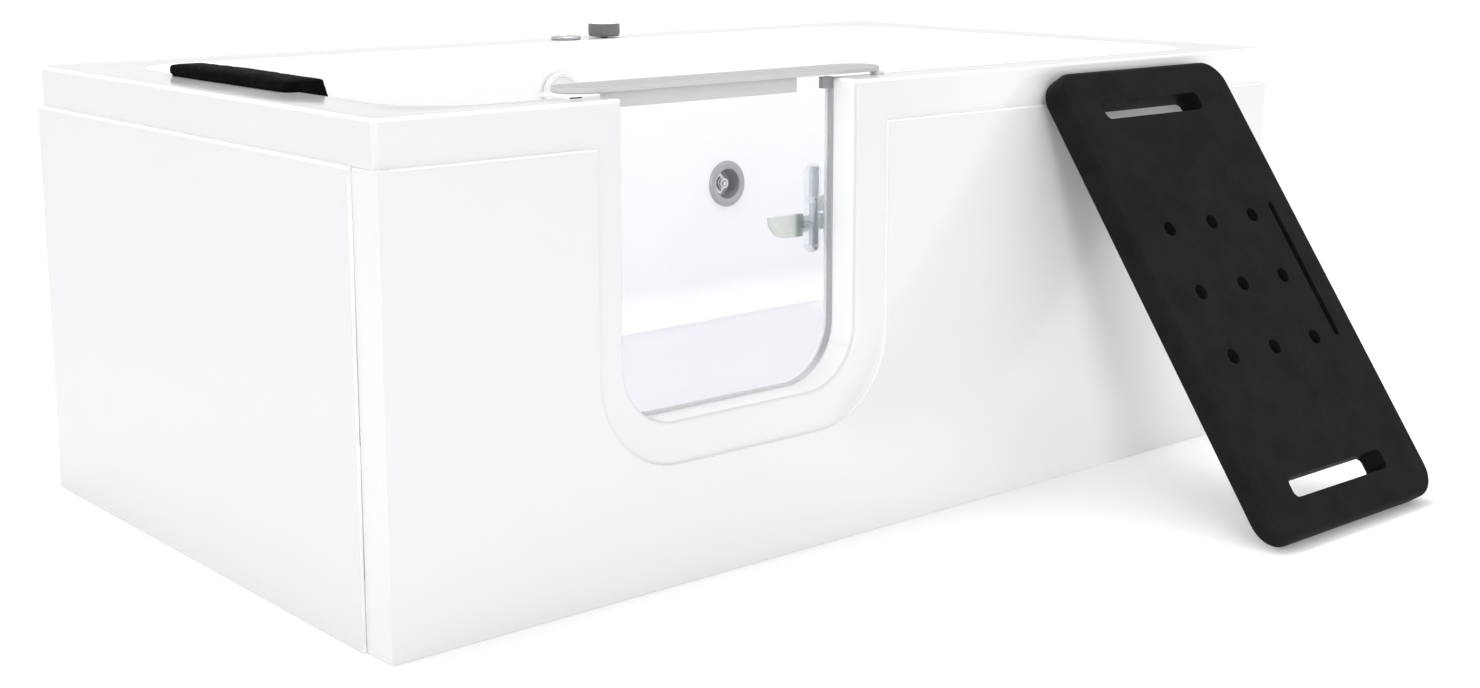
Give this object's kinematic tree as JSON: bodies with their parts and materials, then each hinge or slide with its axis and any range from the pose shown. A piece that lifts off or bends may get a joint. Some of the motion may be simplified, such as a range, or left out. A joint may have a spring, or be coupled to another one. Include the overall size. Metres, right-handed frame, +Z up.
{
  "type": "walk-in bathtub with door",
  "caption": "White walk-in bathtub with an inward-opening glass door, grey top rail, black headrest, wall inlet, overflow, deck knob and a loose black seat board.",
  "frame": {"origin": "on the floor under the middle of the bath, at the middle foot's pad", "axes": "+X along the bath towards the foot end, -Y the front with the door, +Z up"},
  "size_m": [1.505, 1.2533, 0.593],
  "materials": {
    "acrylic": "gloss",
    "panel": "gloss",
    "board": "matt",
    "tube_steel": "satin",
    "steel": "satin",
    "foot_plastic": "matt",
    "gasket": "satin",
    "gasket_cap": "satin",
    "glass": "clear",
    "aluminium": "brushed",
    "chrome": "polished",
    "white_plastic": "gloss",
    "pale_plastic": "satin",
    "latch_case": "gloss, slightly translucent",
    "rod_grey": "satin",
    "latch_lever": "translucent",
    "pipe_plastic": "satin",
    "cover_plastic": "gloss",
    "copper": "drawn",
    "brass": "machined",
    "knob_metal": "satin",
    "ring_chrome": "polished",
    "peg_black": "matt",
    "headrest_foam": "satin, soft skin",
    "board_black": "satin"
  },
  "bodies": {
    "tub": {"bath_shell": "acrylic", "base_board": "board", "cradle_rail_front": "tube_steel", "cradle_rail_back": "tube_steel", "cradle_tube_head": "tube_steel", "cradle_tube_middle": "tube_steel", "cradle_tube_foot": "tube_steel", "post_head_front": "tube_steel", "post_head_back": "tube_steel", "post_foot_front": "tube_steel", "post_foot_back": "tube_steel", "level_foot_head_front": "foot_plastic", "level_foot_head_back": "foot_plastic", "level_foot_foot_front": "foot_plastic", "level_foot_foot_back": "foot_plastic", "level_foot_middle": "foot_plastic", "foot_nuts": "steel", "front_panel": "panel", "end_panel": "panel", "panel_brackets": "steel", "door_gasket": "gasket", "gasket_end_cap": "gasket_cap", "hinge_wall_leaf": "chrome", "hinge_pin": "steel", "wall_screws": "steel", "wall_nuts": "steel", "hinge_end_block": "white_plastic", "latch_keeper": "pale_plastic", "waste_flange": "chrome", "waste_trap": "pipe_plastic", "overflow_body": "pipe_plastic", "overflow_pipe": "pipe_plastic", "inlet_flange": "chrome", "inlet_nozzle": "chrome", "inlet_body": "pipe_plastic", "inlet_nut": "pipe_plastic", "inlet_pipe": "copper", "water_valve": "brass", "valve_nut": "brass", "air_regulator": "pipe_plastic"},
    "door": {"door_glass": "glass", "door_rail": "aluminium", "door_channel": "aluminium", "hinge_door_leaf": "chrome", "rail_buffer": "pale_plastic", "latch_case": "latch_case", "latch_blocks": "white_plastic", "latch_rods": "rod_grey", "latch_pin": "steel", "latch_screws": "steel"},
    "latch": {"latch_lever": "latch_lever"},
    "plug": {"drain_plug": "chrome"},
    "overflow_control": {"overflow_cover": "cover_plastic"},
    "water_knob": {"deck_knob": "knob_metal"},
    "air_control": {"air_ring": "ring_chrome", "air_ring_peg": "peg_black"},
    "headrest": {"headrest": "headrest_foam"},
    "seat_board": {"seat_board": "board_black"}
  },
  "joints": [
    {"name": "door_swing", "type": "hinge", "parent": "tub", "child": "door", "pos_m": [-0.455, -0.3572, 0.435], "axis": [0, 0, 1], "range_deg": [0, 90]},
    {"name": "latch_turn", "type": "hinge", "parent": "door", "child": "latch", "pos_m": [-0.105, -0.353, 0.387], "axis": [0, -1, 0], "range_deg": [0, 30]},
    {"name": "plug_lift", "type": "slide", "parent": "tub", "child": "plug", "axis": [0, 0, 1], "range_m": [0, 0.01]},
    {"name": "overflow_turn", "type": "hinge", "parent": "tub", "child": "overflow_control", "pos_m": [0.021, 0.33822, 0.491], "axis": [0, -0.9989, 0.0478], "range_deg": [0, 90]},
    {"name": "water_turn", "type": "hinge", "parent": "tub", "child": "water_knob", "pos_m": [0.138, 0.3785, 0.57], "axis": [0, 0, 1], "range_deg": [0, 90]},
    {"name": "air_turn", "type": "hinge", "parent": "tub", "child": "air_control", "pos_m": [0.064, 0.3785, 0.57], "axis": [0, 0, 1], "range_deg": [-60, 60]},
    {"name": "headrest_lift", "type": "slide", "parent": "tub", "child": "headrest", "axis": [0, 0, 1], "range_m": [0, 0.12]},
    {"name": "seat_board_away", "type": "slide", "parent": "tub", "child": "seat_board", "axis": [0, -1, 0], "range_m": [0, 0.4]}
  ],
  "couplings": [
    {"joint": "overflow_turn", "follows": "plug_lift", "rad_per_m": 154}
  ]
}
